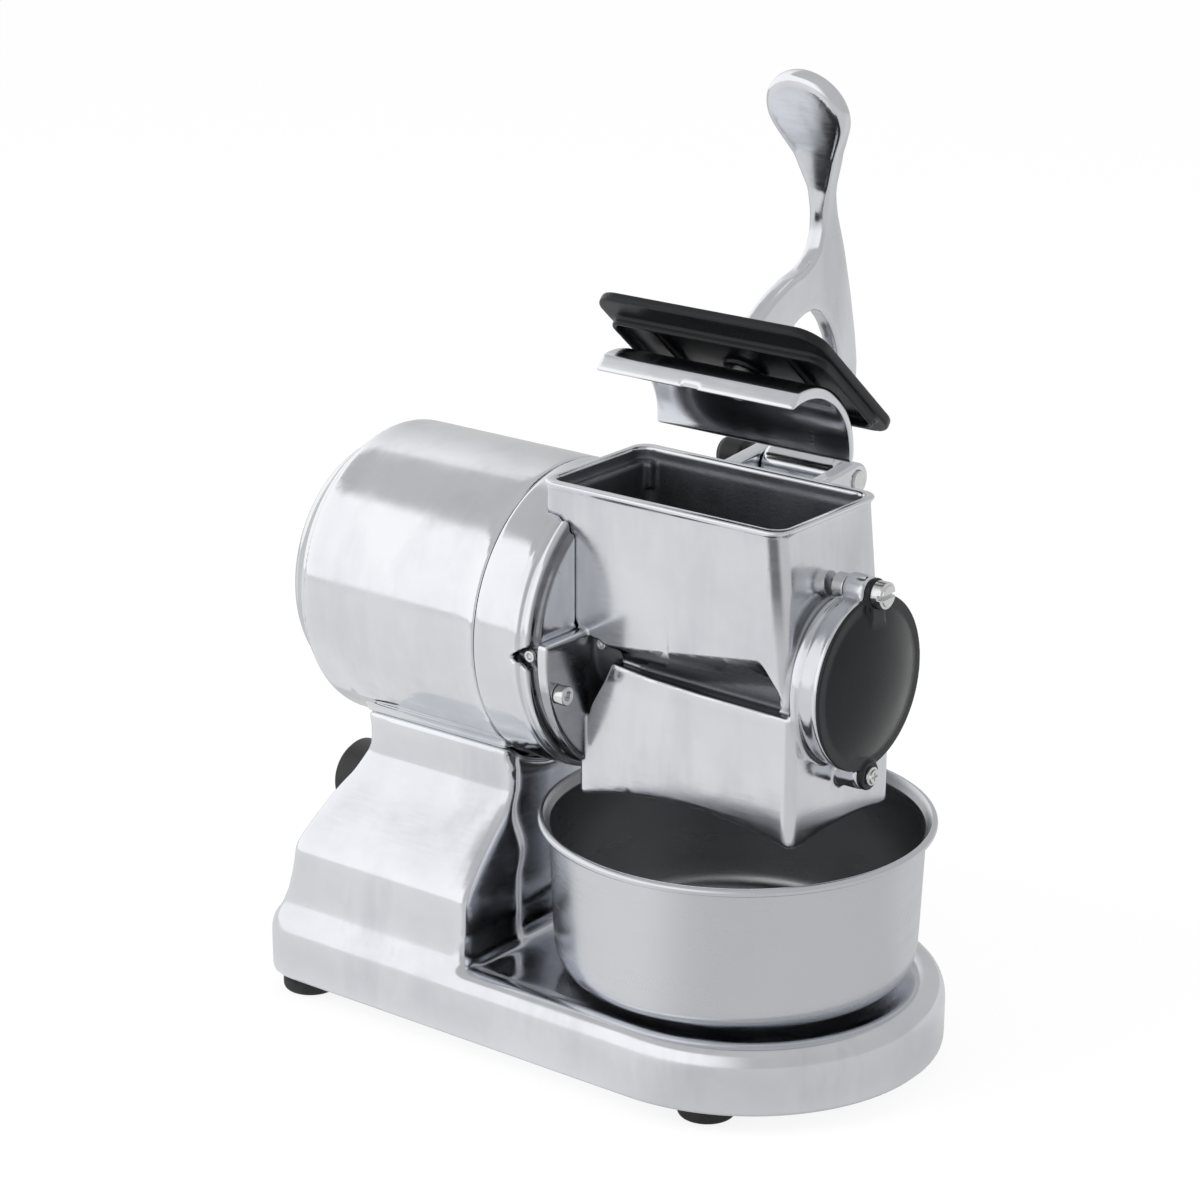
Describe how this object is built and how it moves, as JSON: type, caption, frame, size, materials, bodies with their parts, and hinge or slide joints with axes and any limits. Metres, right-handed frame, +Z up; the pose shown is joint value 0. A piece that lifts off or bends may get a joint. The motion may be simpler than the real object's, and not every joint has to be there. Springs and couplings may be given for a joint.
{
  "type": "electric grater",
  "caption": "Tabletop motor grater: cast base with pedestal, round motor, hopper with hinged lever pusher, grating drum, chute and a loose steel bowl",
  "frame": {"origin": "on the table, below the middle of the whole outline, with the lever open", "axes": "X along the motor and drum axis towards the end cap, Y to the hinge side, Z up"},
  "size_m": [0.36, 0.2262, 0.4961],
  "materials": {
    "cast_aluminium": "polished and satin cast aluminium",
    "satin_steel": "satin stainless sheet, spun",
    "bright_steel": "bright zinc or stainless fasteners",
    "black_plastic": "satin black moulding",
    "black_rubber": "matte black rubber",
    "laminated_steel": "stacked electrical sheet",
    "copper_winding": "varnished copper windings",
    "bronze": "plain sintered bronze"
  },
  "bodies": {
    "frame": {"base_casting": "cast_aluminium", "bottom_plate": "satin_steel", "bottom_plate_screws": "bright_steel", "rubber_feet": "black_rubber", "foot_screws": "bright_steel", "motor_housing": "cast_aluminium", "saddle_bolts": "bright_steel", "rear_cover": "cast_aluminium", "rear_cover_screws": "bright_steel", "rear_bearing": "bright_steel", "front_bearing": "bright_steel", "stator_core": "laminated_steel", "stator_windings": "copper_winding", "front_bell": "cast_aluminium", "bell_screws": "bright_steel", "hopper_body": "cast_aluminium", "hopper_bolts": "bright_steel", "neck_screws": "bright_steel", "end_cap": "black_plastic", "cap_top_screw": "bright_steel", "cap_top_nut": "bright_steel", "cap_bottom_screw": "bright_steel", "spindle_bush": "bronze", "hinge_pin": "bright_steel", "pin_end_grip": "black_plastic", "switch_body": "black_plastic", "cable_gland": "black_plastic"},
    "drive": {"motor_shaft": "bright_steel", "rotor_core": "laminated_steel", "cooling_fan": "black_plastic", "drive_coupling": "bright_steel", "drum_spindle": "satin_steel", "grating_drum": "satin_steel"},
    "lever": {"lever": "cast_aluminium", "pusher_plate": "black_plastic", "press_foot": "cast_aluminium", "pusher_post": "bright_steel", "pusher_screws": "bright_steel"},
    "switch": {"switch_knob": "black_plastic"},
    "bowl": {"bowl": "satin_steel"}
  },
  "joints": [
    {"name": "lever_hinge", "type": "hinge", "parent": "frame", "child": "lever", "pos_m": [0.04982, 0.07477, 0.2865], "axis": [1, 0, 0], "range_deg": [0, 41.4]},
    {"name": "drive_spin", "type": "hinge", "parent": "frame", "child": "drive", "pos_m": [0.00352, -0.01063, 0.216], "axis": [1, 0, 0], "continuous": true},
    {"name": "switch_turn", "type": "hinge", "parent": "frame", "child": "switch", "pos_m": [-0.15368, -0.04663, 0.10606], "axis": [-1, 0, 0], "range_deg": [0, 90]},
    {"name": "bowl_slide", "type": "slide", "parent": "frame", "child": "bowl", "axis": [1, 0, 0], "range_m": [0, 0.24]}
  ]
}
